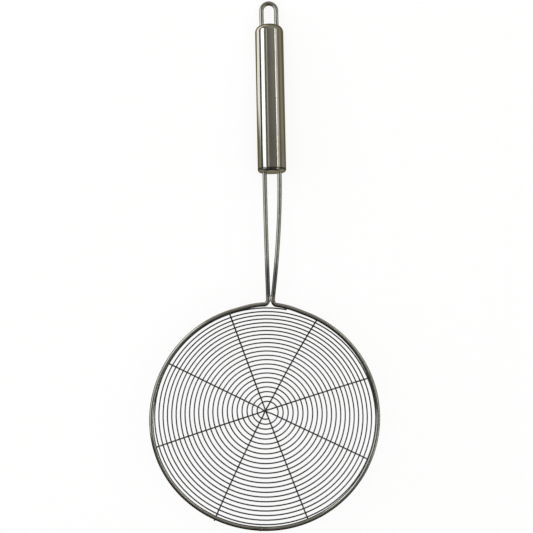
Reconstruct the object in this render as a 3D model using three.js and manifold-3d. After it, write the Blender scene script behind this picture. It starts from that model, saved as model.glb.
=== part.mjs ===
// Spiral wire strainer with a hollow handle, lying on a table with its bowl open upwards.
// Millimetres, +Z up, handle along +Y. The origin is under the hub of the bowl, where it touches the table.

import * as THREE from 'three';
import { mergeVertices } from 'three/addons/utils/BufferGeometryUtils.js';
import Module from 'manifold-3d';

const wasm = await Module();
wasm.setup();

// Driving dimensions

const RIM_DIAMETER = 180;            // outside of the rim, where it is round
const RIM_BULGE = 1.65;              // how far it is bent out of round on the left
const RIM_BULGE_ANGLE = 202;         // degrees from +X to the middle of that bulge
const RIM_BULGE_REACH = 62;          // degrees from there to where it ends
const FRAME_WIRE = 3.4;              // diameter of the wire of rim, shanks and hanging loop
const SPIRAL_WIRE = 1.1;
const CROSS_WIRE = 1.2;
const CLEARANCE = 0.2;               // between wires that are welded to each other
const HOLE_CLEARANCE = 0.3;          // round a leg in its hole, and round the spigot of the end cap

const DISH_RADIUS = 165;             // sphere that the middle of the spiral wire lies on
const SPIRAL_START = 6.2;            // from the middle of the spiral to its inner end, along the dish
const SPIRAL_PITCH = 4.107;          // from turn to turn at the inner end, along the dish
const SPIRAL_CLOSING = 0.0244;       // how much the pitch loses in each turn
const SPIRAL_RIGHT = 0.54;           // from the hub to the middle of the spiral, along +X
const SPIRAL_BACK = 0.34;            // and along -Y
const SPIRAL_OVAL = 0.008;           // share by which it is wider than round across the handle
const SPIRAL_START_ANGLE = -74.6;    // degrees from +X to the inner end, which lies on cross_wire_3
const SPIRAL_END_ANGLE = 78;         // degrees from +X to the outer end, beside the neck
const SPIRAL_STEPS = 24;             // steps in one turn

const CROSS_WIRE_ANGLES = [17.95, 62.75, 110.3, 153.8];  // degrees from +X to each cross wire, at the hub
const CROSS_WIRE_BOWS = [2.85, -0.65, -1.8, -3.5];       // degrees that both its ends stand to the left
const CROSS_WIRE_OVERHANG = 0.7;     // past the middle of the rim wire
const LONG_END_OVERHANG = 2.8;       // the one end that was cut off too long
const HUB_LAYERS = [1, 0, 2, 3];     // layer of each cross wire at the hub, 3 on top

const NECK_ASIDE = 4.6;              // the handle and shanks stand this far to the right of the hub
const NECK_BEND = 3;                 // middle radius where the wire turns from shank to rim
const NECK_LIFT = 2.3;               // how far the neck is drawn out of the round of the rim
const NECK_LIFT_REACH = 7.2;         // from the neck back to where that begins, towards the hub
const NECK_WELD_LENGTH = 4.4;
const NECK_WELD_RISE = 1.2;          // middle of the neck weld, from the neck up the shanks
const NECK_WELD_THICKNESS = 2.6;
const RIM_WELD_LENGTH = 5;
const RIM_END_GAP = 1.25;            // between the ends of the wire, inside the butt weld of the rim
const RIM_WELD_SWELL = 0.15;         // how far the butt weld of the rim stands proud of the wire

const SHANK_LENGTH = 98.6;           // from the neck to the handle
const SHANK_BEND_START = 21.6;       // from the neck to the place where the shanks turn down
const SHANK_BEND = 40;               // middle radius of that bend
const SHANK_PULL_NECK = 4;           // how far the shanks run on straight from the neck
const SHANK_PULL_HANDLE = 50;        // how far they run straight down from the handle
const SHANK_DRIFT = 1.75;            // how far the shanks wander to the right on their way to the handle
const LEG_SPACING = 11.6;            // between the middles of the two legs in the handle
const LOOP_RISE = 18.4;              // hanging loop above the top of the handle

const HANDLE_LENGTH = 118;
const HANDLE_DIAMETER = 22.2;
const HANDLE_WALL = 0.8;
const HANDLE_LEAN = 0.85;            // degrees that the handle leans to the left
const HANDLE_SHOULDER = 5.5;         // radius of the shoulder at the top
const HANDLE_CROWN = 1.2;            // rise of the top between the shoulders
const CAP_EDGE = 2.2;                // radius of the rounded edge of the end cap
const CAP_BAND = 0.5;                // straight band above that edge
const CAP_CROWN = 0.8;               // bulge of the end cap
const CAP_SPIGOT = 4;                // skirt of the end cap inside the tube

// How finely the round forms are divided
const WIRE_SIDES = 8;
const SPIRAL_SIDES = 6;
const RIM_STEPS = 32;                // half of the rim
const NECK_STEPS = 5;
const SHANK_STEPS = 20;
const LEG_STEPS = 2;
const LOOP_STEPS = 10;
const SPOKE_STEPS = 10;
const HUB_STEPS = 5;                 // where a cross wire climbs to its layer
const ROUND_SEGMENTS = 32;
const HOLE_SEGMENTS = 20;
const WELD_SEGMENTS = 14;
const EDGE_STEPS = 4;
const SETTLE_PASSES = 20;            // to find the slope of the handle

const STEEL = { color: 0xb4b0a6, metalness: 1 };
const POLISHED = 0.12;               // roughness of the handle
const DRAWN = 0.3;                   // roughness of the wires

// Places that follow from the driving dimensions

const UP = new THREE.Vector3(0, 0, 1);
const frameRadius = FRAME_WIRE / 2;
const rimRadius = RIM_DIAMETER / 2 - frameRadius;
const legOffset = LEG_SPACING / 2;
const neckOffset = (FRAME_WIRE + CLEARANCE) / 2;

// Spheres round the middle of the dish: the cross wires lie outside the spiral, and carry the rim
const crossSphere = DISH_RADIUS + (SPIRAL_WIRE + CROSS_WIRE) / 2 + CLEARANCE;
const rimSphere = crossSphere - (CROSS_WIRE + FRAME_WIRE) / 2 - CLEARANCE;

// Cross wires lie one over the other at the hub, and the lowest one touches the table
const layerStep = CROSS_WIRE + CLEARANCE;
const lowestLayer = -layerStep * (HUB_LAYERS.length - 1) / 2;
const crossings = CROSS_WIRE_ANGLES.map((angle, index) => {
  const next = CROSS_WIRE_ANGLES[index + 1] ?? CROSS_WIRE_ANGLES[0] + 180;
  return THREE.MathUtils.degToRad(next - angle);
});
const hubFlat = layerStep / Math.sin(Math.min(...crossings));
const wireFlat = CROSS_WIRE / 2 * Math.cos(Math.PI / WIRE_SIDES);
const dishCentre = Math.sqrt(crossSphere ** 2 - hubFlat ** 2) - lowestLayer + wireFlat;
const rimHeight = heightOnRimSphere(rimRadius);

function heightOnRimSphere(radius) {
  return dishCentre - Math.sqrt(rimSphere ** 2 - radius ** 2);
}

// How far the rim stands out of round at this angle from +X
function rimBulge(angle) {
  const aside = THREE.MathUtils.euclideanModulo(angle - RIM_BULGE_ANGLE + 180, 360) - 180;
  return RIM_BULGE * (1 - THREE.MathUtils.smoothstep(Math.abs(aside), 0, RIM_BULGE_REACH));
}

// The neck bend touches the rim circle from outside, and the straight line of the shank
const bendCentre = new THREE.Vector2(
  neckOffset + NECK_BEND,
  Math.sqrt((rimRadius + NECK_BEND) ** 2 - (neckOffset + NECK_BEND) ** 2),
);
const bendAngle = Math.atan2(bendCentre.y, bendCentre.x);
const neck = bendCentre.y;
const handleStart = neck + SHANK_LENGTH;
const lean = THREE.MathUtils.degToRad(HANDLE_LEAN);

// The shanks turn down so far that the handle rests on the table just below its top shoulder
const handleRadius = HANDLE_DIAMETER / 2;
const downStart = neck + SHANK_BEND_START;
const handleRest = handleStart + (HANDLE_LENGTH - HANDLE_CROWN - HANDLE_SHOULDER) * Math.cos(lean);
const down = downAngle();

function downAngle() {
  let angle = 0;
  for (let pass = 0; pass < SETTLE_PASSES; pass++) {
    const drop = rimHeight - handleRadius * Math.cos(angle) - SHANK_BEND * (1 - Math.cos(angle));
    angle = Math.asin(drop / (handleRest - downStart - SHANK_BEND * angle));
  }
  return angle;
}

// The rim is turned about the hub until its neck is under the shanks
const rimTurn = Math.asin(NECK_ASIDE / (neck + NECK_LIFT));
const neckPlace = (neck + NECK_LIFT) * Math.cos(rimTurn);

// A point of the handle, seen from above, in the flat pattern of the frame
function onHandle(x, along) {
  return new THREE.Vector2(
    SHANK_DRIFT + x * Math.cos(lean) - along * Math.sin(lean),
    handleStart + x * Math.sin(lean) + along * Math.cos(lean),
  );
}

// A point of the flat pattern of the frame, set into the rim plane and the slope behind it.
// Where the rim bulges, the cross wires lift it a little
function onFrame(x, along) {
  if (along <= neck) {
    const lift = NECK_LIFT * THREE.MathUtils.smoothstep(along, neck - NECK_LIFT_REACH, neck);
    const place = new THREE.Vector3(x, along + lift, 0).applyAxisAngle(UP, -rimTurn);
    const bulge = rimBulge(THREE.MathUtils.radToDeg(Math.atan2(place.y, place.x)));
    place.setLength(place.length() + bulge);
    place.z = heightOnRimSphere(rimRadius + bulge);
    return place;
  }
  const past = Math.max(along - downStart, 0);
  const turned = Math.min(past / SHANK_BEND, down);
  const straight = past - SHANK_BEND * turned;
  return new THREE.Vector3(
    x + NECK_ASIDE,
    neckPlace + along - neck - past + SHANK_BEND * Math.sin(turned) + straight * Math.cos(turned),
    rimHeight - SHANK_BEND * (1 - Math.cos(turned)) - straight * Math.sin(turned),
  );
}

// Wires

// A wire's middle line, made of stretches that each have their own number of steps
class WireLine extends THREE.Curve {
  constructor(stretches) {
    super();
    this.stretches = stretches;
    this.steps = stretches.reduce((sum, stretch) => sum + stretch.steps, 0);
  }

  getPoint(t, target = new THREE.Vector3()) {
    let place = t * this.steps;
    let index = 0;
    while (index < this.stretches.length - 1 && place > this.stretches[index].steps) {
      place -= this.stretches[index].steps;
      index += 1;
    }
    const stretch = this.stretches[index];
    return target.copy(stretch.at(place / stretch.steps));
  }

  getUtoTmapping(u) {
    return u;
  }
}

function wireAlong(line, diameter, sides) {
  const section = new THREE.Shape();
  for (let side = 0; side < sides; side++) {
    const angle = (side + 0.5) / sides * 2 * Math.PI;
    const x = diameter / 2 * Math.cos(angle);
    const y = diameter / 2 * Math.sin(angle);
    if (side === 0) section.moveTo(x, y);
    else section.lineTo(x, y);
  }
  section.closePath();
  return new THREE.ExtrudeGeometry(section, { extrudePath: line, steps: line.steps, bevelEnabled: false });
}

// Closed meshes that are joined or cut

function toSolid(geometry) {
  const bare = geometry.clone();
  bare.deleteAttribute('normal');
  bare.deleteAttribute('uv');
  const merged = mergeVertices(bare);
  const corners = merged.index.array;
  const triangles = [];
  for (let i = 0; i < corners.length; i += 3) {
    const [a, b, c] = corners.slice(i, i + 3);
    if (a !== b && b !== c && c !== a) triangles.push(a, b, c);
  }
  return new wasm.Manifold(new wasm.Mesh({
    numProp: 3,
    vertProperties: new Float32Array(merged.attributes.position.array),
    triVerts: new Uint32Array(triangles),
  }));
}

function toGeometry(solid) {
  const mesh = solid.getMesh();
  const geometry = new THREE.BufferGeometry();
  geometry.setAttribute('position', new THREE.BufferAttribute(mesh.vertProperties, 3));
  geometry.setIndex(new THREE.BufferAttribute(mesh.triVerts, 1));
  geometry.computeVertexNormals();
  return geometry;
}

function steelMesh(name, geometry, roughness) {
  const mesh = new THREE.Mesh(geometry, new THREE.MeshStandardMaterial({ ...STEEL, roughness }));
  mesh.name = name;
  return mesh;
}

// Frame wire: rim, neck, shanks, legs through the handle and hanging loop are one wire,
// welded end to end in the rim opposite the neck and side to side at the neck

function frameLine() {
  const halfGap = RIM_END_GAP / 2 / rimRadius;
  const rim = new THREE.EllipseCurve(0, 0, rimRadius, rimRadius, halfGap - Math.PI / 2, bendAngle);
  const bend = new THREE.EllipseCurve(
    bendCentre.x, bendCentre.y, NECK_BEND, NECK_BEND, bendAngle + Math.PI, Math.PI, true,
  );
  const loopRun = HANDLE_LENGTH + LOOP_RISE - frameRadius - legOffset;
  const loopMiddle = onHandle(0, loopRun);
  const loop = new THREE.EllipseCurve(
    loopMiddle.x, loopMiddle.y, legOffset, legOffset, lean, lean + Math.PI,
  );

  // The left half is the right half mirrored, up to the shank that leads to its own leg
  const half = (side) => {
    const onLeg = (along) => {
      const place = onHandle(side * legOffset, along);
      return new THREE.Vector2(side * place.x, place.y);
    };
    const shank = new THREE.CubicBezierCurve(
      new THREE.Vector2(neckOffset, neck),
      new THREE.Vector2(neckOffset, neck + SHANK_PULL_NECK),
      onLeg(-SHANK_PULL_HANDLE),
      onLeg(0),
    );
    const leg = new THREE.LineCurve(onLeg(0), onLeg(loopRun));
    const backwards = side < 0;
    const stretches = [[rim, RIM_STEPS], [bend, NECK_STEPS], [shank, SHANK_STEPS], [leg, LEG_STEPS]];
    return stretches.map(([curve, steps]) => stretchOf(curve, steps, side, backwards));
  };
  return new WireLine([...half(1), stretchOf(loop, LOOP_STEPS, 1, false), ...half(-1).reverse()]);
}

function stretchOf(curve, steps, side, backwards) {
  const at = (t) => {
    const point = curve.getPoint(backwards ? 1 - t : t);
    return onFrame(side * point.x, point.y);
  };
  return { at, steps };
}

function weld(place, width, length, thickness) {
  const bead = new THREE.SphereGeometry(0.5, WELD_SEGMENTS, WELD_SEGMENTS / 2);
  bead.scale(width, length, thickness);
  bead.translate(place.x, place.y, place.z);
  return toSolid(bead);
}

function frameWire() {
  const swell = FRAME_WIRE + 2 * RIM_WELD_SWELL;
  const neckWeld = weld(
    onFrame(0, neck + NECK_WELD_RISE), 2 * neckOffset, NECK_WELD_LENGTH, NECK_WELD_THICKNESS,
  );
  const rimWeld = weld(onFrame(0, -rimRadius), RIM_WELD_LENGTH, swell, swell);
  return toGeometry(toSolid(wireAlong(frameLine(), FRAME_WIRE, WIRE_SIDES)).add(neckWeld).add(rimWeld));
}

// Spiral wire: wound outwards on the dish, clockwise from above, until it meets the rim

// A point of its middle line, this many turns from the inner end
function spiralPlace(turn) {
  const along = SPIRAL_START + SPIRAL_PITCH * turn - SPIRAL_CLOSING * turn ** 2 / 2;
  const angle = THREE.MathUtils.degToRad(SPIRAL_START_ANGLE) - 2 * Math.PI * turn;
  const radius = DISH_RADIUS * Math.sin(along / DISH_RADIUS);
  const x = SPIRAL_RIGHT + radius * (1 + SPIRAL_OVAL) * Math.cos(angle);
  const y = -SPIRAL_BACK + radius * (1 - SPIRAL_OVAL) * Math.sin(angle);
  return new THREE.Vector3(x, y, dishCentre - Math.sqrt(DISH_RADIUS ** 2 - x ** 2 - y ** 2));
}

function clearOfRim(point) {
  const radius = rimRadius + rimBulge(THREE.MathUtils.radToDeg(Math.atan2(point.y, point.x)));
  const gap = Math.hypot(radius - Math.hypot(point.x, point.y), heightOnRimSphere(radius) - point.z);
  return gap >= (FRAME_WIRE + SPIRAL_WIRE) / 2 + CLEARANCE;
}

function spiralLine() {
  const lap = Array.from({ length: SPIRAL_STEPS }, (_, step) => (step + 1) / SPIRAL_STEPS);
  let turns = THREE.MathUtils.euclideanModulo(SPIRAL_START_ANGLE - SPIRAL_END_ANGLE, 360) / 360;
  while (lap.every((share) => clearOfRim(spiralPlace(turns + share)))) turns += 1;
  return new WireLine([{ at: (t) => spiralPlace(turns * t), steps: Math.ceil(turns * SPIRAL_STEPS) }]);
}

// Least gap between turns, measured on the points of the middle line
function leastGap(line, diameter) {
  const points = line.getPoints(line.steps);
  let least = Infinity;
  for (let i = 0; i < points.length; i++) {
    for (let j = i + SPIRAL_STEPS / 2; j < points.length; j++) {
      least = Math.min(least, points[i].distanceTo(points[j]));
    }
  }
  return least - diameter;
}

// Cross wires: across the bowl under the spiral, from rim to rim, pulled a little towards the handle.
// They are made along X and then turned

function crossLine(index, overhangs) {
  const innerEnd = spiralPlace(0);
  const hubReach = Math.hypot(innerEnd.x, innerEnd.y) - SPIRAL_WIRE / 2 - CLEARANCE;
  const layer = lowestLayer + layerStep * HUB_LAYERS[index];
  const bow = THREE.MathUtils.degToRad(CROSS_WIRE_BOWS[index]);

  const at = (radius) => {
    const out = Math.max(Math.abs(radius), hubFlat);
    const away = Math.min((out - hubFlat) / (hubReach - hubFlat), 1);
    const lift = layer * (1 + Math.cos(Math.PI * away)) / 2;
    const sag = Math.sqrt(crossSphere ** 2 - out ** 2);
    const aside = bow * Math.abs(radius) / rimRadius;
    return new THREE.Vector3(
      radius * Math.cos(aside),
      Math.abs(radius) * Math.sin(aside),
      dishCentre - sag + lift,
    );
  };
  const between = (from, to, steps) => ({ at: (t) => at(from + (to - from) * t), steps });

  const leftAngle = CROSS_WIRE_ANGLES[index] - CROSS_WIRE_BOWS[index] + 180;
  const rightAngle = CROSS_WIRE_ANGLES[index] + CROSS_WIRE_BOWS[index];
  const start = -rimRadius - rimBulge(leftAngle) - overhangs[0];
  const end = rimRadius + rimBulge(rightAngle) + overhangs[1];
  return new WireLine([
    between(start, -hubReach, SPOKE_STEPS),
    between(-hubReach, -hubFlat, HUB_STEPS),
    between(-hubFlat, hubFlat, 1),
    between(hubFlat, hubReach, HUB_STEPS),
    between(hubReach, end, SPOKE_STEPS),
  ]);
}

// Handle, in its own frame: +Y is the way to the hanging loop, 0 is the outside of the end cap

const capSeat = CAP_CROWN + CAP_EDGE + CAP_BAND;

function cutForLegs(geometry) {
  let solid = toSolid(geometry);
  for (const side of [-1, 1]) {
    const hole = new THREE.CylinderGeometry(1, 1, 2 * HANDLE_LENGTH, HOLE_SEGMENTS);
    hole.scale(frameRadius + HOLE_CLEARANCE, 1, frameRadius + HOLE_CLEARANCE);
    hole.translate(side * legOffset, HANDLE_LENGTH / 2, 0);
    solid = solid.subtract(toSolid(hole));
  }
  return toGeometry(solid);
}

// Half section of the closed end of the tube, from the axis out to the wall
function domedEnd(radius, top, shoulder) {
  const flat = radius - shoulder;
  const edge = new THREE.Path();
  edge.moveTo(0, top);
  edge.quadraticCurveTo(flat / 2, top, flat, top - HANDLE_CROWN);
  edge.absellipse(flat, top - HANDLE_CROWN - shoulder, shoulder, shoulder, Math.PI / 2, 0, true);
  return edge.getPoints(EDGE_STEPS);
}

function handleTube() {
  const seat = capSeat + HOLE_CLEARANCE;
  const outside = domedEnd(handleRadius, HANDLE_LENGTH, HANDLE_SHOULDER).reverse();
  const inside = domedEnd(
    handleRadius - HANDLE_WALL, HANDLE_LENGTH - HANDLE_WALL, HANDLE_SHOULDER - HANDLE_WALL,
  );
  const profile = [
    ...inside,
    new THREE.Vector2(handleRadius - HANDLE_WALL, seat),
    new THREE.Vector2(handleRadius, seat),
    ...outside,
  ];
  return cutForLegs(new THREE.LatheGeometry(profile, ROUND_SEGMENTS));
}

function handleEndCap() {
  const spigot = handleRadius - HANDLE_WALL - HOLE_CLEARANCE;
  const flat = handleRadius - CAP_EDGE;
  const outside = new THREE.Path();
  outside.moveTo(0, 0);
  outside.quadraticCurveTo(flat / 2, 0, flat, CAP_CROWN);
  outside.absellipse(flat, CAP_CROWN + CAP_EDGE, CAP_EDGE, CAP_EDGE, -Math.PI / 2, 0);
  outside.lineTo(handleRadius, capSeat);
  const profile = [
    ...outside.getPoints(EDGE_STEPS),
    new THREE.Vector2(spigot, capSeat),
    new THREE.Vector2(spigot, capSeat + CAP_SPIGOT),
    new THREE.Vector2(spigot - HANDLE_WALL, capSeat + CAP_SPIGOT),
    new THREE.Vector2(spigot - HANDLE_WALL, CAP_CROWN + CAP_EDGE),
    new THREE.Vector2(0, CAP_CROWN + CAP_EDGE),
  ];
  return cutForLegs(new THREE.LatheGeometry(profile, ROUND_SEGMENTS));
}

// Assembly

const strainer = new THREE.Group();
strainer.name = 'strainer';
strainer.add(steelMesh('frame_wire', frameWire(), DRAWN));

const spiral = spiralLine();
console.log(`spiral_wire: least gap to itself ${leastGap(spiral, SPIRAL_WIRE).toFixed(2)} mm`);
strainer.add(steelMesh('spiral_wire', wireAlong(spiral, SPIRAL_WIRE, SPIRAL_SIDES), DRAWN));

CROSS_WIRE_ANGLES.forEach((angle, index) => {
  const overhangs = [index === 1 ? LONG_END_OVERHANG : CROSS_WIRE_OVERHANG, CROSS_WIRE_OVERHANG];
  const line = crossLine(index, overhangs);
  const wire = steelMesh(`cross_wire_${index + 1}`, wireAlong(line, CROSS_WIRE, WIRE_SIDES), DRAWN);
  wire.rotation.z = THREE.MathUtils.degToRad(angle);
  strainer.add(wire);
});

const handle = new THREE.Group();
handle.position.copy(onFrame(...onHandle(0, 0)));
handle.rotation.set(-down, 0, lean);
handle.add(steelMesh('handle_tube', handleTube(), POLISHED));
handle.add(steelMesh('handle_end_cap', handleEndCap(), POLISHED));
strainer.add(handle);

export default strainer;
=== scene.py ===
import math

import bmesh
import bpy
from mathutils import Matrix, Vector
from mathutils.geometry import interpolate_bezier


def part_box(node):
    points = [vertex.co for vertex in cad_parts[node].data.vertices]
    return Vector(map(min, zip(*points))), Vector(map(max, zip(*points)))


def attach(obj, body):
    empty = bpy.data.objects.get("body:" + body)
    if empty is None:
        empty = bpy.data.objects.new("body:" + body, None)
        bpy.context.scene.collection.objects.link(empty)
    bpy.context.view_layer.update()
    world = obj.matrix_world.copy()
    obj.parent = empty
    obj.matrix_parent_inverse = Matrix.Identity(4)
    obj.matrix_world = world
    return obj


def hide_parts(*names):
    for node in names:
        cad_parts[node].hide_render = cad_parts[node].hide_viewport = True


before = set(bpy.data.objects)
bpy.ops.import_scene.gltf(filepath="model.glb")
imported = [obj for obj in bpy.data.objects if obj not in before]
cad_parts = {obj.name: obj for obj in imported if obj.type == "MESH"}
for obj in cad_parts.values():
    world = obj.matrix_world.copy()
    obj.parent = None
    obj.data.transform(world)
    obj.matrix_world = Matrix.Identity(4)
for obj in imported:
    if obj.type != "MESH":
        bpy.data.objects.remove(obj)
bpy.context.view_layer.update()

# Cross wires
# Four thin stainless wires, drawn and cut to length, that run across the bowl under the spiral.
# They are pressed to its curve, lie one over the other at the hub and carry the rim on their ends.

cross_width = 0.0012
spiral_width = 0.0011
rim_width = 0.0034
weld_gap = 0.0002              # between wires that are welded to each other
dish_radius = 0.165            # sphere that the middle of the spiral wire lies on
rim_radius = 0.0883            # middle of the rim wire, where it is round
rim_bulge = 0.00165            # how far the rim is bent out of round on the left
bulge_angle = math.radians(202)  # from +X to the middle of that bulge
bulge_reach = math.radians(62)   # from there to where it ends
spiral_start = 0.0062          # from the middle of the spiral to its inner end, along the bowl
spiral_pitch = 0.004107        # from turn to turn at the inner end, along the bowl
spiral_closing = 0.0000244     # how much the pitch loses in each turn
spiral_middle = Vector((0.00054, -0.00034))  # from the hub
spiral_oval = Vector((1.008, 0.992))         # wider than round, across the handle
spiral_angle = math.radians(-74.6)           # from +X to the inner end
cross_angles = (17.95, 62.75, 110.3, 153.8)  # degrees from +X to each wire, at the hub
cross_bows = (2.85, -0.65, -1.8, -3.5)       # degrees that both its ends stand to the left
hub_layers = (1, 0, 2, 3)      # layer of each wire at the hub, 3 on top
plain_overhang = 0.0007        # past the middle of the rim wire
long_overhang = 0.0028         # the one end that was cut off too long
long_wire = 1                  # index of the wire that has it
cross_steps = 240
cross_rounding = 3             # roundness of the section, as Blender counts it
cut_edge = math.radians(50)    # edges sharper than this stay sharp where a wire was cut off

wire_pale = (0.29, 0.315, 0.345, 1)
wire_dark = (0.12, 0.135, 0.15, 1)
wire_shine = 0.16              # roughness of the thin wires
heat_brown = (0.15, 0.115, 0.08, 1)
# painted shade for the shanks above the neck
painted_shade_dark = (0.19, 0.195, 0.2, 1)
die_runs = 60                  # die lines begin and end so often in a metre
die_count = 9                  # die lines round a wire
die_depth = 0.00004
dull_grain = 140.0             # dull patches in a metre
heat_grain = 900.0             # specks of heat colour in a metre
spiral_heat = (0.0004, 0.0013)  # from the middle of the spiral wire to where heat marks fade and end

cross_sphere = dish_radius + (spiral_width + cross_width) / 2 + weld_gap
rim_sphere = cross_sphere - (cross_width + rim_width) / 2 - weld_gap
layer_step = cross_width + weld_gap
lowest_layer = -layer_step * (len(hub_layers) - 1) / 2
next_angles = (*cross_angles[1:], cross_angles[0] + 180)
least_crossing = min(after - before for before, after in zip(cross_angles, next_angles))
hub_flat = layer_step / math.sin(math.radians(least_crossing))
dish_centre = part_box("cross_wire_2")[0].z + cross_width / 2 - lowest_layer
dish_centre += math.sqrt(cross_sphere ** 2 - hub_flat ** 2)


class Shade:
    """An output in a material's nodes. Sums on it add Math nodes, and node() adds any other node."""

    def __init__(self, tree, output):
        self.tree = tree
        self.output = output

    def node(self, kind, settings, sockets, out=0):
        made = self.tree.nodes.new(kind)
        for name, value in settings.items():
            setattr(made, name, value)
        for name, value in sockets.items():
            if isinstance(value, Shade):
                self.tree.links.new(value.output, made.inputs[name])
            else:
                made.inputs[name].default_value = value
        return Shade(self.tree, made.outputs[out])

    def maths(self, operation, other=0.0):
        return self.node("ShaderNodeMath", {"operation": operation}, {0: self, 1: other})

    def reflected(self, operation, other):
        return self.node("ShaderNodeMath", {"operation": operation}, {0: other, 1: self})

    def __add__(self, other):
        return self.maths("ADD", other)

    __radd__ = __add__

    def __sub__(self, other):
        return self.maths("SUBTRACT", other)

    def __rsub__(self, other):
        return self.reflected("SUBTRACT", other)

    def __mul__(self, other):
        return self.maths("MULTIPLY", other)

    __rmul__ = __mul__

    def __truediv__(self, other):
        return self.maths("DIVIDE", other)

    def __rtruediv__(self, other):
        return self.reflected("DIVIDE", other)

    def __pow__(self, other):
        return self.maths("POWER", other)

    def ramp(self, low, high):
        """0 at low and below, 1 at high and above."""
        return self.node(
            "ShaderNodeMapRange", {"interpolation_type": "SMOOTHSTEP"},
            {"Value": self, "From Min": low, "From Max": high})

    def blend(self, first, second):
        """From the first colour to the second, by this share."""
        return self.node("ShaderNodeMix", {"data_type": "RGBA"}, {0: self, 6: first, 7: second}, 2)

    def mapped(self, scale, turn=(0, 0, 0)):
        return self.node("ShaderNodeMapping", {}, {"Vector": self, "Scale": scale, "Rotation": turn})

    def noise(self, scale, detail=3.0, rough=0.5):
        return self.node(
            "ShaderNodeTexNoise", {},
            {"Vector": self, "Scale": scale, "Detail": detail, "Roughness": rough})

    def axis(self, letter):
        return self.node("ShaderNodeSeparateXYZ", {}, {0: self}, "XYZ".index(letter))


def bare_metal(name):
    """A metal with its own nodes: the material, the sockets of its shader and its Object coordinates."""
    material = bpy.data.materials.new(name)
    material.use_nodes = True
    tree = material.node_tree
    shader = tree.nodes["Principled BSDF"]
    shader.inputs["Metallic"].default_value = 1
    return material, shader.inputs, Shade(tree, tree.nodes.new("ShaderNodeTexCoord").outputs["Object"])


def feed(shade, socket):
    shade.tree.links.new(shade.output, socket)


def bump(height, strength, distance):
    return height.node("ShaderNodeBump", {}, {"Strength": strength, "Distance": distance, "Height": height})


def wire_steel(name, pale, dark, shine, length, weld_heat, painted_shade=None):
    """Drawn stainless wire: lines along it from the die, dull patches, heat marks at the welds, and painted
    shade where it is asked for.
    """
    material, sockets, place = bare_metal(name)
    along_wire = place.node("ShaderNodeTexCoord", {}, {}, "UV")
    die_lines = along_wire.mapped((length * die_runs, die_count, 1)).noise(1.0, 4.0, 0.6)
    dull = place.noise(dull_grain)
    grey = (0.6 * die_lines + 0.4 * dull).ramp(0.32, 0.68).blend(dark, pale)
    if painted_shade:
        # painted shade: the wire is darker where it mirrors a darker part of the room
        grey = painted_shade(place).blend(grey, painted_shade_dark)
    heat = weld_heat(place) * (0.3 + 0.4 * place.noise(heat_grain, 1.0))
    feed(heat.blend(grey, heat_brown), sockets["Base Color"])
    feed(shine + 0.1 * (die_lines - 0.5) + 0.06 * dull + 0.12 * heat, sockets["Roughness"])
    feed(bump(die_lines, 0.25, die_depth), sockets["Normal"])
    return material


def under_spiral(place):
    """1 where the spiral passes over, fading along the wire on both sides."""
    shrink = dish_radius / cross_sphere
    x = (place.axis("X") * shrink - spiral_middle.x) / spiral_oval.x
    y = (place.axis("Y") * shrink - spiral_middle.y) / spiral_oval.y
    slope = (x * x + y * y) ** 0.5 / dish_radius
    wound = dish_radius * slope.maths("ARCSINE") - spiral_start
    turn = (spiral_pitch - (spiral_pitch ** 2 - 2 * spiral_closing * wound) ** 0.5) / spiral_closing
    from_turn = turn - (spiral_angle - y.maths("ARCTAN2", x)) / (2 * math.pi)
    return 1 - (spiral_pitch * from_turn.maths("PINGPONG", 0.5)).ramp(*spiral_heat)


def drawn(name, points, width, rounding):
    """A round wire along the points, with flat cut ends. Its UV runs along it and round it."""
    line = bpy.data.curves.new(name, "CURVE")
    line.dimensions = "3D"
    line.bevel_depth = width / 2
    line.bevel_resolution = rounding
    line.use_fill_caps = True
    spline = line.splines.new("POLY")
    spline.points.add(len(points) - 1)
    for knot, point in zip(spline.points, points):
        knot.co = (*point, 1)
    wire = bpy.data.objects.new(name, line)
    mesh = bpy.data.meshes.new_from_object(wire)
    bpy.data.objects.remove(wire)
    mesh.name = name
    mesh.shade_smooth()
    mesh.set_sharp_from_angle(angle=cut_edge)
    return mesh


def put(name, mesh, material, slot, *nodes):
    """Stands a finished mesh in the scene as a piece of the strainer, in the place of these CAD nodes."""
    mesh.materials.clear()
    mesh.materials.append(material)
    piece = bpy.data.objects.new(name, mesh)
    bpy.context.scene.collection.objects.link(piece)
    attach(piece, "root")
    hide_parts(*nodes)


def spiral_place(turn):
    """A point of the middle line of the spiral, this many turns from its inner end."""
    along = spiral_start + spiral_pitch * turn - spiral_closing * turn ** 2 / 2
    angle = spiral_angle - 2 * math.pi * turn
    out = dish_radius * math.sin(along / dish_radius)
    x = spiral_middle.x + out * spiral_oval.x * math.cos(angle)
    y = spiral_middle.y + out * spiral_oval.y * math.sin(angle)
    return Vector((x, y, dish_centre - math.sqrt(dish_radius ** 2 - x ** 2 - y ** 2)))


def smooth_step(share):
    """From 0 to 1 as the share goes from 0 to 1, level at both ends."""
    return share ** 2 * (3 - 2 * share)


def bulge(angle):
    """How far the rim stands out of round at this angle from +X."""
    away = min(abs(math.remainder(angle - bulge_angle, 2 * math.pi)) / bulge_reach, 1)
    return rim_bulge * (1 - smooth_step(away))


hub_reach = spiral_place(0).xy.length - spiral_width / 2 - weld_gap


def cross_place(along, index):
    """A point of the middle line of a cross wire, this far from the hub."""
    out = max(abs(along), hub_flat)
    away = min((out - hub_flat) / (hub_reach - hub_flat), 1)
    layer = lowest_layer + layer_step * hub_layers[index]
    lift = layer * (1 + math.cos(math.pi * away)) / 2
    height = dish_centre - math.sqrt(cross_sphere ** 2 - out ** 2) + lift
    angle = math.radians(cross_angles[index] + cross_bows[index] * along / rim_radius)
    return Vector((along * math.cos(angle), along * math.sin(angle), height))


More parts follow.
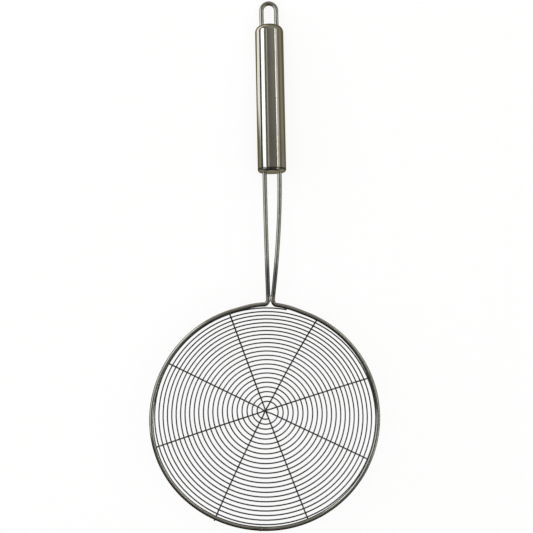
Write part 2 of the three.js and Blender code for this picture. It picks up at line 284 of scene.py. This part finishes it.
cross_steel = wire_steel("cross_wire_steel", wire_pale, wire_dark, wire_shine, 2 * rim_radius, under_spiral)
for index, (angle, bow) in enumerate(zip(cross_angles, cross_bows)):
    start = -rim_radius - bulge(math.radians(angle - bow + 180))
    start -= long_overhang if index == long_wire else plain_overhang
    end = rim_radius + bulge(math.radians(angle + bow)) + plain_overhang
    alongs = [start + (end - start) * step / cross_steps for step in range(cross_steps + 1)]
    cross_points = [cross_place(along, index) for along in alongs]
    cross_name = f"cross_wire_{index + 1}"
    cross_mesh = drawn(cross_name, cross_points, cross_width, cross_rounding)
    put(f"{cross_name}_drawn", cross_mesh, cross_steel, "basket_steel", cross_name)

# Spiral wire
# One thin stainless wire, wound outwards on the bowl for about 22 turns, clockwise from above.
# It is spot welded to each cross wire that it passes over, and its outer end lies against the rim.

whole_laps = 22                # before the part of a turn that leads to the outer end
spiral_end_angle = math.radians(78)  # from +X to the outer end
turn_steps = 96
spiral_rounding = 2
cross_heat = (0.0005, 0.0022)  # from the middle of a cross wire to where the heat marks fade and end

spiral_turns = whole_laps + (spiral_angle - spiral_end_angle) / (2 * math.pi) % 1


def over_cross_wires(place):
    """1 over the cross wires, fading within two millimetres beside them."""
    x = place.axis("X")
    y = place.axis("Y")
    gaps = []
    for angle, bow in zip(cross_angles, cross_bows):
        ahead = Vector((math.cos(math.radians(angle)), math.sin(math.radians(angle))))
        along = x * ahead.x + y * ahead.y
        aside = y * ahead.x - x * ahead.y - along * along * (math.radians(bow) / rim_radius)
        gaps.append(aside.maths("ABSOLUTE"))
    nearest = gaps[0]
    for gap in gaps[1:]:
        nearest = nearest.maths("MINIMUM", gap)
    return 1 - nearest.ramp(*cross_heat)


def length_of(points):
    return sum((after - before).length for before, after in zip(points, points[1:]))


spiral_steps = round(spiral_turns * turn_steps)
spiral_points = [spiral_place(step / turn_steps) for step in range(spiral_steps + 1)]
spiral_steel = wire_steel(
    "spiral_wire_steel", wire_pale, wire_dark, wire_shine, length_of(spiral_points), over_cross_wires)
spiral_mesh = drawn("spiral_wire", spiral_points, spiral_width, spiral_rounding)
put("spiral_wire_wound", spiral_mesh, spiral_steel, "basket_steel", "spiral_wire")

# Weld spots
# Where the spiral passes over a cross wire, the two are pressed together hot between copper electrodes.
# That leaves a small flattened nugget of steel between them, dull and brown from the heat.

nugget_size = Vector((0.0015, 0.0012, 0.0009))
nugget_grey = (0.24, 0.22, 0.195, 1)
crust_depth = 0.0001
crossing_passes = 6            # to find where the spiral passes over a bowed wire


def crusted_steel(name, dark, pale, grain, spread, shine, metallic):
    """Steel that was molten: rough, with specks in two tones, so many grains in a metre. On the weld spots
    both tones are scale; on the neck bead the pale specks are painted highlights.
    """
    material, sockets, place = bare_metal(name)
    sockets["Metallic"].default_value = metallic
    crust = place.noise(grain, 3.0, 0.6)
    feed(crust.ramp(0.5 - spread, 0.5 + spread).blend(dark, pale), sockets["Base Color"])
    feed(shine + 0.25 * crust, sockets["Roughness"])
    feed(bump(crust, 0.4, crust_depth), sockets["Normal"])
    return material


def crossing_turn(angle, bow, lap):
    """Where the spiral passes over this end of a cross wire in its given lap, in turns from its inner end."""
    turn = lap + (spiral_angle - math.radians(angle)) / (2 * math.pi) % 1
    for settling in range(crossing_passes):
        over = spiral_place(turn)
        wire_angle = math.radians(angle + bow * over.xy.length / rim_radius)
        turn += math.remainder(math.atan2(over.y, over.x) - wire_angle, 2 * math.pi) / (2 * math.pi)
    return turn


cross_ends = list(zip(cross_angles, cross_bows))
cross_ends += [(angle + 180, -bow) for angle, bow in cross_ends]
laps = range(math.ceil(spiral_turns))
crossings = [crossing_turn(angle, bow, lap) for angle, bow in cross_ends for lap in laps]
grow = Matrix.Diagonal((*nugget_size, 1))
nuggets = bmesh.new()
for over in [spiral_place(turn) for turn in crossings if 0 < turn < spiral_turns]:
    inward = Vector((0, 0, dish_centre)) - over
    middle = over - inward.normalized() * (spiral_width + weld_gap) / 2
    lie = inward.to_track_quat("Z", "X").to_matrix().to_4x4()
    bmesh.ops.create_icosphere(
        nuggets, subdivisions=1, radius=0.5, matrix=Matrix.Translation(middle) @ lie @ grow)
nugget_mesh = bpy.data.meshes.new("weld_spots")
nuggets.to_mesh(nugget_mesh)
nuggets.free()
nugget_mesh.shade_smooth()
nugget_steel = crusted_steel(
    "nugget_steel", heat_brown, nugget_grey, grain=1500.0, spread=0.2, shine=0.35, metallic=1)
put("weld_spots", nugget_mesh, nugget_steel, "basket_steel")

# Frame wire
# One thick stainless wire, bent into the hanging loop, the two shanks and the round rim.
# Its ends are butt welded in the rim opposite the neck, and the shanks are welded together at the neck.

neck_aside = 0.0046            # the handle and shanks stand this far to the right of the hub
neck_lift = 0.0023             # how far the neck is drawn out of the round of the rim
neck_lift_reach = 0.0072       # from the neck back to where that begins, towards the hub
neck_bend = 0.003              # middle radius where the wire turns from shank to rim
shank_length = 0.0986          # from the neck to the handle
shank_pull_neck = 0.004        # how far the neck pulls their curve straight up
shank_pull_handle = 0.05       # how far the handle pulls it straight down
shank_bend_start = 0.0216      # from the neck to the place where the shanks turn down
shank_bend = 0.04              # middle radius of that bend
shank_drift = 0.00175          # how far the shanks wander to the right on their way to the handle
leg_offset = 0.0058            # from the middle of the handle to the middle of a leg
loop_rise = 0.0184             # hanging loop above the top of the handle
handle_length = 0.118
handle_radius = 0.0111
handle_lean = math.radians(0.85)  # to the left
handle_shoulder = 0.0055       # radius of the shoulder at the top
handle_crown = 0.0012          # rise of the top between the shoulders
slope_passes = 20              # to find the slope of the handle
rim_steps = 140                # half of the rim
bend_steps = 16
shank_points = 60
frame_rounding = 6
frame_pale = (0.66, 0.655, 0.63, 1)
frame_dark = (0.5, 0.495, 0.47, 1)
frame_shine = 0.09             # roughness
frame_weld_heat = (0.002, 0.011)  # from the middle of a weld to where the heat marks fade and end
painted_shade_begins = (0.001, 0.005)  # painted shade starts and is full this far up the shanks, where they mirror a darker part of the room
painted_shade_ends = (0.019, 0.036)    # and fades and ends this far up

rim_height = dish_centre - math.sqrt(rim_sphere ** 2 - rim_radius ** 2)
neck_offset = (rim_width + weld_gap) / 2
bend_x = neck_offset + neck_bend
neck = math.sqrt((rim_radius + neck_bend) ** 2 - bend_x ** 2)
bend_angle = math.atan2(neck, bend_x)
rim_turn = Matrix.Rotation(-math.asin(neck_aside / (neck + neck_lift)), 3, "Z")
neck_reach = math.sqrt((neck + neck_lift) ** 2 - neck_aside ** 2)
down_start = neck + shank_bend_start
handle_start = neck + shank_length
handle_rest = handle_start + (handle_length - handle_crown - handle_shoulder) * math.cos(handle_lean)
loop_run = handle_length + loop_rise - rim_width / 2 - leg_offset

handle_down = 0.0
for settling in range(slope_passes):
    bend_drop = shank_bend * (1 - math.cos(handle_down))
    handle_drop = rim_height - handle_radius * math.cos(handle_down) - bend_drop
    handle_down = math.asin(handle_drop / (handle_rest - down_start - shank_bend * handle_down))


def on_frame(x, along):
    """A point of the flat pattern of the frame, in the plane of the rim and the slope behind it."""
    if along <= neck:
        lift = neck_lift * smooth_step(max(along - neck + neck_lift_reach, 0) / neck_lift_reach)
        point = rim_turn @ Vector((x, along + lift, 0))
        out = bulge(math.atan2(point.y, point.x))
        height = dish_centre - math.sqrt(rim_sphere ** 2 - (rim_radius + out) ** 2)
        return point + point.normalized() * out + Vector((0, 0, height))
    past = max(along - down_start, 0)
    bent = min(past / shank_bend, handle_down)
    straight = past - shank_bend * bent
    run = along - neck - past + shank_bend * math.sin(bent) + straight * math.cos(bent)
    drop = shank_bend * (1 - math.cos(bent)) + straight * math.sin(bent)
    return Vector((x + neck_aside, neck_reach + run, rim_height - drop))


def on_handle(x, along):
    """A point of the handle, seen from above, in the flat pattern of the frame."""
    lean = Matrix.Rotation(handle_lean, 2)
    return Vector((shank_drift, handle_start)) + lean @ Vector((x, along))


def arc(centre_x, centre_y, radius, start, stop, steps):
    angles = [start + (stop - start) * step / steps for step in range(steps + 1)]
    return [(centre_x + radius * math.cos(angle), centre_y + radius * math.sin(angle)) for angle in angles]


def half_frame(side):
    """The flat pattern from the butt weld of the rim to the top of the loop, on the right or on the left."""
    half = arc(0, 0, rim_radius, -math.pi / 2, bend_angle, rim_steps)
    half += arc(bend_x, neck, neck_bend, bend_angle + math.pi, math.pi, bend_steps)[1:]
    half = [(side * x, along) for x, along in half]
    leg = side * leg_offset
    half += interpolate_bezier(
        Vector((side * neck_offset, neck)), Vector((side * neck_offset, neck + shank_pull_neck)),
        on_handle(leg, -shank_pull_handle), on_handle(leg, 0), shank_points)[1:]
    quarter_loop = arc(0, loop_run, leg_offset, 0, math.pi / 2, bend_steps)
    return half + [on_handle(side * x, along) for x, along in quarter_loop]


def frame_heat(place):
    """1 at the neck weld and at the butt weld of the rim, fading along the wire."""
    from_neck, from_butt = [
        place.node("ShaderNodeVectorMath", {"operation": "DISTANCE"}, {0: place, 1: on_frame(0, along)}, 1)
        for along in (neck, -rim_radius)]
    return 1 - from_neck.maths("MINIMUM", from_butt).ramp(*frame_weld_heat)


def neck_painted_shade(place):
    """1 on the shanks above the neck, where painted shade stands for the darker room that they mirror."""
    up_shank = place.axis("Y") - on_frame(0, neck).y
    return up_shank.ramp(*painted_shade_begins) * (1 - up_shank.ramp(*painted_shade_ends))


flat_frame = half_frame(1) + half_frame(-1)[-2::-1]
frame_points = [on_frame(x, along) for x, along in flat_frame]
frame_steel = wire_steel(
    "frame_wire_steel", frame_pale, frame_dark, frame_shine, length_of(frame_points), frame_heat, neck_painted_shade)
frame_mesh = drawn("frame_wire", frame_points, rim_width, frame_rounding)
put("frame_wire_bent", frame_mesh, frame_steel, "frame_steel", "frame_wire")

# Frame welds
# A bead of steel fills the groove between the two shanks at the neck, grey, with pale specks painted on it as
# highlights.
# A low ring of steel stands where the ends of the wire were butted in the rim, brushed like the wire.

neck_bead = Vector((0.0046, 0.0048, 0.0037))
neck_bead_rise = 0.0012        # middle of the bead, from the neck up the shanks
butt_ring = Vector((0.005, 0.0037, 0.0037))
bead_ripples = 5
ripple_height = 0.03           # share of the size of the bead
bead_painted_highlight = (0.6, 0.6, 0.57, 1)
bead_grey = (0.27, 0.265, 0.25, 1)


def rippled(name, size, middle):
    """A bead of weld of this size, with the low ripples that it froze in."""
    bead = bmesh.new()
    bmesh.ops.create_icosphere(bead, subdivisions=4, radius=0.5)
    for vert in bead.verts:
        ripple = 1 + ripple_height * math.cos(2 * math.pi * bead_ripples * max(vert.co.y, vert.co.x))
        vert.co = middle + ripple * Vector([side * share for side, share in zip(size, vert.co)])
    mesh = bpy.data.meshes.new(name)
    bead.to_mesh(mesh)
    bead.free()
    mesh.shade_smooth()
    return mesh


neck_weld = rippled("neck_weld", neck_bead, on_frame(0, neck + neck_bead_rise))
butt_weld = rippled("butt_weld", butt_ring, on_frame(0, -rim_radius))
# neck bead: grey scale, with pale specks that are painted highlights
bead_steel = crusted_steel(
    "bead_steel", bead_grey, bead_painted_highlight, grain=1100.0, spread=0.15, shine=0.3, metallic=0.4)
put("neck_weld", neck_weld, bead_steel, "frame_steel")
put("butt_weld", butt_weld, frame_steel, "frame_steel")

# Handle tube
# A stainless tube with a closed, drawn top end, polished along its length until it mirrors the room.
# The two legs of the frame wire run through it and leave through two holes in the top.

handle_wall = 0.0008
hole_clearance = 0.0003        # round a leg in its hole, and between the tube and its end cap
cap_edge = 0.0022              # radius of the rounded edge of the end cap
cap_band = 0.0005              # straight band above that edge
cap_crown = 0.0008             # bulge of the end cap
round_steps = 96
drill_steps = 48
crown_steps = 6
shoulder_steps = 10
seam_reach = 1e-6              # points of the shell nearer than this are one
pressed_edge = math.radians(35)  # edges sharper than this stay sharp
polished_pale = (0.62, 0.605, 0.575, 1)
polished_warm = (0.52, 0.495, 0.445, 1)
polished_shine = 0.055         # roughness
polish_depth = 0.00003
polish_count = 90              # polish lines in a radian round the handle
polish_runs = 40               # they begin and end so often in a metre
scratch_grain = (700, 60, 700)  # scratches in a metre, each way
scratch_slant = (0.3, 0.2, 0)  # radians
dull_foot = 0.006              # dull part of the lower end
dull_top = 0.007               # and of the top
# painted shade in the joint of tube and end cap
joint_shade_dark = (0.05, 0.047, 0.04, 1)
joint_shade_drop = 0.0006            # middle of the painted shade, below the joint of tube and end cap
joint_shade_reach = (0.0003, 0.001)  # from there to where it fades and ends
joint_shade_grain = 350.0            # gaps in the painted shade in a metre
smudge_grain = 55.0            # finger smudges in a metre

handle_turn = Matrix.Rotation(-handle_down, 4, "X") @ Matrix.Rotation(handle_lean, 4, "Z")
handle_place = Matrix.Translation(on_frame(*on_handle(0, 0))) @ handle_turn
cap_seat = cap_crown + cap_edge + cap_band
tube_seat = cap_seat + hole_clearance
inner_radius = handle_radius - handle_wall


def leg_drills():
    """Two long rods where the legs of the frame wire run, a little thicker than the wire."""
    hole_radius = rim_width / 2 + hole_clearance
    drills = bmesh.new()
    for side in (-1, 1):
        middle = Matrix.Translation((side * leg_offset, handle_length / 2, 0))
        bmesh.ops.create_cone(
            drills, cap_ends=True, segments=drill_steps, radius1=hole_radius, radius2=hole_radius,
            depth=2 * handle_length, matrix=middle @ Matrix.Rotation(math.pi / 2, 4, "X"))
    mesh = bpy.data.meshes.new("leg_drills")
    drills.to_mesh(mesh)
    drills.free()
    return mesh


def turned(name, outline):
    """A closed shell turned round the axis of the handle from its half section, drilled for the two legs."""
    shell = bmesh.new()
    corners = [shell.verts.new((out, along, 0)) for out, along in outline]
    edges = [shell.edges.new(pair) for pair in zip(corners, corners[1:])]
    bmesh.ops.spin(
        shell, geom=corners + edges, cent=(0, 0, 0), axis=(0, 1, 0), angle=2 * math.pi,
        steps=round_steps, use_merge=True)
    bmesh.ops.remove_doubles(shell, verts=shell.verts, dist=seam_reach)
    bmesh.ops.recalc_face_normals(shell, faces=shell.faces)
    mesh = bpy.data.meshes.new(name)
    shell.to_mesh(mesh)
    shell.free()

    drill = bpy.data.objects.new("leg_drills", leg_drills())
    blank = bpy.data.objects.new(name, mesh)
    for thing in (drill, blank):
        bpy.context.scene.collection.objects.link(thing)
    cut = blank.modifiers.new("leg_holes", "BOOLEAN")
    cut.object = drill
    cut.solver = "EXACT"
    drilled = blank.evaluated_get(bpy.context.evaluated_depsgraph_get())
    finished = bpy.data.meshes.new_from_object(drilled)
    for thing in (drill, blank):
        bpy.data.objects.remove(thing)
    finished.transform(handle_place)
    finished.shade_smooth()
    finished.set_sharp_from_angle(angle=pressed_edge)
    return finished


def crowned(flat, height, rise):
    """The half section of a shallow crown, from the axis out to just inside the end of the flat."""
    shares = [step / crown_steps for step in range(crown_steps)]
    return [(flat * share, height + rise * share ** 2) for share in shares]


def domed_end(radius, top, shoulder):
    """The half section of the closed end, from the axis out to the wall."""
    flat = radius - shoulder
    round_edge = arc(flat, top - handle_crown - shoulder, shoulder, math.pi / 2, 0, shoulder_steps)
    return crowned(flat, top, -handle_crown) + round_edge


def polished_steel(name):
    """Mirror polish: faint lines along the tube, finger smudges, dull ends and painted shade in the joint."""
    material, sockets, place = bare_metal(name)
    own = place.node(
        "ShaderNodeMapping", {"vector_type": "TEXTURE"},
        {"Vector": place, "Location": handle_place.translation, "Rotation": handle_turn.to_euler()})
    along = own.axis("Y")
    around = own.axis("X").maths("ARCTAN2", own.axis("Z"))
    unrolled = own.node("ShaderNodeCombineXYZ", {}, {0: around * polish_count, 1: along * polish_runs, 2: 0})
    polish_lines = unrolled.noise(1.0, 4.0, 0.6)
    smudge = own.noise(smudge_grain, 4.0, 0.55).ramp(0.45, 0.72)
    scratch = own.mapped(scratch_grain, scratch_slant).noise(1.0, 2.0).ramp(0.68, 0.74)
    end_dull = 1 - along.ramp(0.0, dull_foot) + along.ramp(handle_length - dull_top, handle_length)
    tone = 0.35 * polish_lines + 0.35 * smudge + 0.5 * end_dull
    from_joint = (along - (cap_seat - joint_shade_drop)).maths("ABSOLUTE")
    # painted shade: a dark band with gaps along the joint of tube and end cap
    joint_shade = (1 - from_joint.ramp(*joint_shade_reach)) * (0.2 + 1.2 * own.noise(joint_shade_grain))
    steel = tone.ramp(0.1, 0.9).blend(polished_pale, polished_warm)
    wear = 0.05 * polish_lines + 0.05 * smudge + 0.08 * scratch + 0.2 * joint_shade
    feed(joint_shade.blend(steel, joint_shade_dark), sockets["Base Color"])
    feed(polished_shine + wear, sockets["Roughness"])
    feed(bump(0.7 * polish_lines + 0.3 * scratch, 0.12, polish_depth), sockets["Normal"])
    return material


tube_outline = domed_end(inner_radius, handle_length - handle_wall, handle_shoulder - handle_wall)
tube_outline += [(inner_radius, tube_seat), (handle_radius, tube_seat)]
tube_outline += reversed(domed_end(handle_radius, handle_length, handle_shoulder))
tube_steel = polished_steel("handle_polished_steel")
put("handle_tube_polished", turned("handle_tube", tube_outline), tube_steel, "handle_steel", "handle_tube")

# Handle end cap
# A pressed stainless disc with a rounded edge and a skirt, pushed into the lower end of the tube.
# The shanks come out through its two holes, and painted shade darkens the joint where it meets the tube.

cap_spigot = 0.004             # skirt inside the tube
cap_edge_steps = 8

spigot_radius = inner_radius - hole_clearance
spigot_inside = spigot_radius - handle_wall
spigot_end = cap_seat + cap_spigot
cap_flat = handle_radius - cap_edge
cap_floor = cap_crown + cap_edge
cap_outline = crowned(cap_flat, 0, cap_crown)
cap_outline += arc(cap_flat, cap_floor, cap_edge, -math.pi / 2, 0, cap_edge_steps)
cap_outline += [(handle_radius, cap_seat), (spigot_radius, cap_seat), (spigot_radius, spigot_end)]
cap_outline += [(spigot_inside, spigot_end), (spigot_inside, cap_floor), (0, cap_floor)]
cap_mesh = turned("handle_end_cap", cap_outline)
put("handle_end_cap_pressed", cap_mesh, polished_steel("end_cap_steel"), "handle_steel", "handle_end_cap")

# Studio
# A white table top in a dim room, lit from overhead, by a window on the left and by a lamp on the right.
# In the steel's reflections only, the table shows a painted reflection: a dark to olive sheet, brown beside
# the handle, with a painted pool of window light on it.

table_size = 6.0
table_colour = (0.93, 0.93, 0.93, 1)
table_shine = 0.9              # roughness
plain_white = (1, 1, 1, 1)
shadow_share = 0.14            # of the table's own shading, which holds the shadow
# painted reflection: colours the table shows only in glossy rays
painted_reflection_dark = (0.025, 0.024, 0.022, 1)
painted_reflection_olive = (0.3, 0.285, 0.22, 1)
painted_reflection_brown = (0.18, 0.148, 0.06, 1)
brown_reach = (0.045, 0.055)   # from the middle of the handle to where the brown fades and ends
brown_fade = 0.02              # below the lower end of the handle
olive_way = (0.55, 0.84, 0)    # the painted reflection turns from dark to olive this way
olive_fade = (-0.1, 0.06)
# painted light: a pool of window light on the table, seen only in reflections
window_painted_pool = (1.25, 1.2, 1.13, 1)
painted_pool_left = (-0.24, -0.21)     # painted window light on the painted reflection fades in here, left of the handle
painted_pool_right = (-0.031, -0.025)  # and fades out here
painted_pool_start = (0.222, 0.262)    # and begins here, up along the handle
room_dark = (0.02, 0.02, 0.02, 1)
room_dim = (0.165, 0.156, 0.132, 1)
dim_way = (0.6, 0.8, 0.25)     # the room turns from dark to dim this way
dim_fade = (-0.28, 0.12)
room_pale = (0.32, 0.31, 0.275, 1)
pale_way = (0.3, 0.9, 0.25)    # and is pale at its far end
pale_fade = (0.5, 0.9)


def towards(place, way):
    """How far a place lies, or a heading points, this way."""
    return place.node("ShaderNodeVectorMath", {"operation": "DOT_PRODUCT"}, {0: place, 1: way}, 1)


table_grid = bmesh.new()
bmesh.ops.create_grid(table_grid, x_segments=1, y_segments=1, size=table_size / 2)
table_mesh = bpy.data.meshes.new("table")
table_grid.to_mesh(table_mesh)
table_grid.free()
table = bpy.data.objects.new("table", table_mesh)
bpy.context.scene.collection.objects.link(table)

table_white = bpy.data.materials.new("table_white")
table_white.use_nodes = True
table_tree = table_white.node_tree
table_shader = table_tree.nodes["Principled BSDF"]
table_shader.inputs["Base Color"].default_value = table_colour
table_shader.inputs["Roughness"].default_value = table_shine
table_shader.inputs["Specular IOR Level"].default_value = 0
ray = table_tree.nodes.new("ShaderNodeLightPath").outputs
mirrored = Shade(table_tree, ray["Is Glossy Ray"])
seen = Shade(table_tree, ray["Is Camera Ray"]) + mirrored + Shade(table_tree, ray["Is Transmission Ray"])
spot = Shade(table_tree, table_tree.nodes.new("ShaderNodeTexCoord").outputs["Object"])
across = spot.axis("X")
lengthwise = spot.axis("Y")
# painted light: where the pool of window light lies on the table
painted_pool = across.ramp(*painted_pool_left) * (1 - across.ramp(*painted_pool_right)) * lengthwise.ramp(*painted_pool_start)
by_handle = 1 - (across - neck_aside).maths("ABSOLUTE").ramp(*brown_reach)
by_handle = by_handle * lengthwise.ramp(handle_start - brown_fade, handle_start)
# painted reflection: dark to olive, and brown beside the handle, seen only in glossy rays
plain_painted_reflection = towards(spot, olive_way).ramp(*olive_fade).blend(painted_reflection_dark, painted_reflection_olive)
painted_reflection = by_handle.blend(plain_painted_reflection, painted_reflection_brown)
glow_colour = mirrored.blend(plain_white, painted_pool.blend(painted_reflection, window_painted_pool))
glow = seen.node("ShaderNodeEmission", {}, {"Color": glow_colour, "Strength": 1.0})
glow_share = (1 - shadow_share) * seen + shadow_share * mirrored
lit = Shade(table_tree, table_shader.outputs[0])
shown = seen.node("ShaderNodeMixShader", {}, {0: glow_share, 1: lit, 2: glow})
feed(shown, table_tree.nodes["Material Output"].inputs["Surface"])
table_mesh.materials.append(table_white)

world = bpy.data.worlds.new("room")
bpy.context.scene.world = world
world.use_nodes = True
room = world.node_tree
heading = Shade(room, room.nodes.new("ShaderNodeTexCoord").outputs["Generated"])
gloom = towards(heading, dim_way).ramp(*dim_fade).blend(room_dark, room_dim)
walls = towards(heading, pale_way).ramp(*pale_fade).blend(gloom, room_pale)
looked_at = Shade(room, room.nodes.new("ShaderNodeLightPath").outputs["Is Camera Ray"])
feed(looked_at.blend(walls, plain_white), room.nodes["Background"].inputs["Color"])


def studio_light(name, elevation, span, distance, start, stop, radiance, colour=(1, 1, 1)):
    """A lamp from start to stop on Y. Its elevation, counted from +X, and its span are in degrees."""
    lamp = bpy.data.lights.new(name, "AREA")
    lamp.shape = "RECTANGLE"
    lamp.size = stop - start
    lamp.size_y = 2 * distance * math.tan(math.radians(span / 2))
    lamp.color = colour
    lamp.energy = radiance * math.pi * lamp.size * lamp.size_y
    stand = bpy.data.objects.new(name, lamp)
    middle = Matrix.Translation((0, (start + stop) / 2, 0))
    aim = middle @ Matrix.Rotation(math.radians(90 - elevation), 4, "Y")
    stand.matrix_world = aim @ Matrix.Translation((0, 0, distance)) @ Matrix.Rotation(math.pi / 2, 4, "Z")
    stand.visible_camera = False
    bpy.context.scene.collection.objects.link(stand)
    return stand


overhead = studio_light("overhead", elevation=90, span=74, distance=1.6, start=-1.0, stop=1.4, radiance=1.75)
overhead.visible_glossy = False
studio_light(
    "left_window", elevation=150.8, span=29.5, distance=1.2, start=0.43, stop=1.2, radiance=1.9,
    colour=(0.96, 1, 1))
studio_light(
    "left_wall", elevation=150.3, span=30.5, distance=1.2, start=-0.35, stop=0.43, radiance=1.25,
    colour=(0.97, 1, 1.03))
studio_light(
    "left_ceiling", elevation=115, span=9, distance=1.3, start=-0.7, stop=1.1, radiance=0.33,
    colour=(1, 1, 0.97))
studio_light(
    "right_lamp", elevation=41.5, span=2.6, distance=1.2, start=-0.7, stop=1.1, radiance=3.4,
    colour=(1, 0.97, 0.82))
studio_light(
    "right_wall", elevation=31, span=18, distance=1.3, start=-0.7, stop=1.1, radiance=0.48,
    colour=(1, 0.98, 0.92))

# Camera
# It stands over the shanks and looks down at the table, a little tilted towards the bowl,
# from the height and at the angle of the photograph.

camera_distance = 0.74         # to the plane of the rim
camera_tilt = math.radians(3.4)
camera_swing = math.radians(-0.48)
camera_roll = math.radians(-0.33)
rim_in_view = Vector((-0.00087, -0.11911, -camera_distance))  # middle of the rim, as the camera sees it
focal_pixels = 943.4
image_pixels = 533

camera_turn = Matrix.Rotation(-camera_tilt, 3, "X") @ Matrix.Rotation(-camera_swing, 3, "Y")
camera_turn = camera_turn @ Matrix.Rotation(camera_roll, 3, "Z")
eye = Vector((0, 0, rim_height)) - camera_turn @ rim_in_view
lens = bpy.data.cameras.new("camera")
lens.lens = focal_pixels / image_pixels * lens.sensor_width
camera = bpy.data.objects.new("camera", lens)
camera.matrix_world = Matrix.Translation(eye) @ camera_turn.to_4x4()
bpy.context.scene.collection.objects.link(camera)
bpy.context.scene.camera = camera
bpy.context.scene.view_settings.view_transform = "Standard"
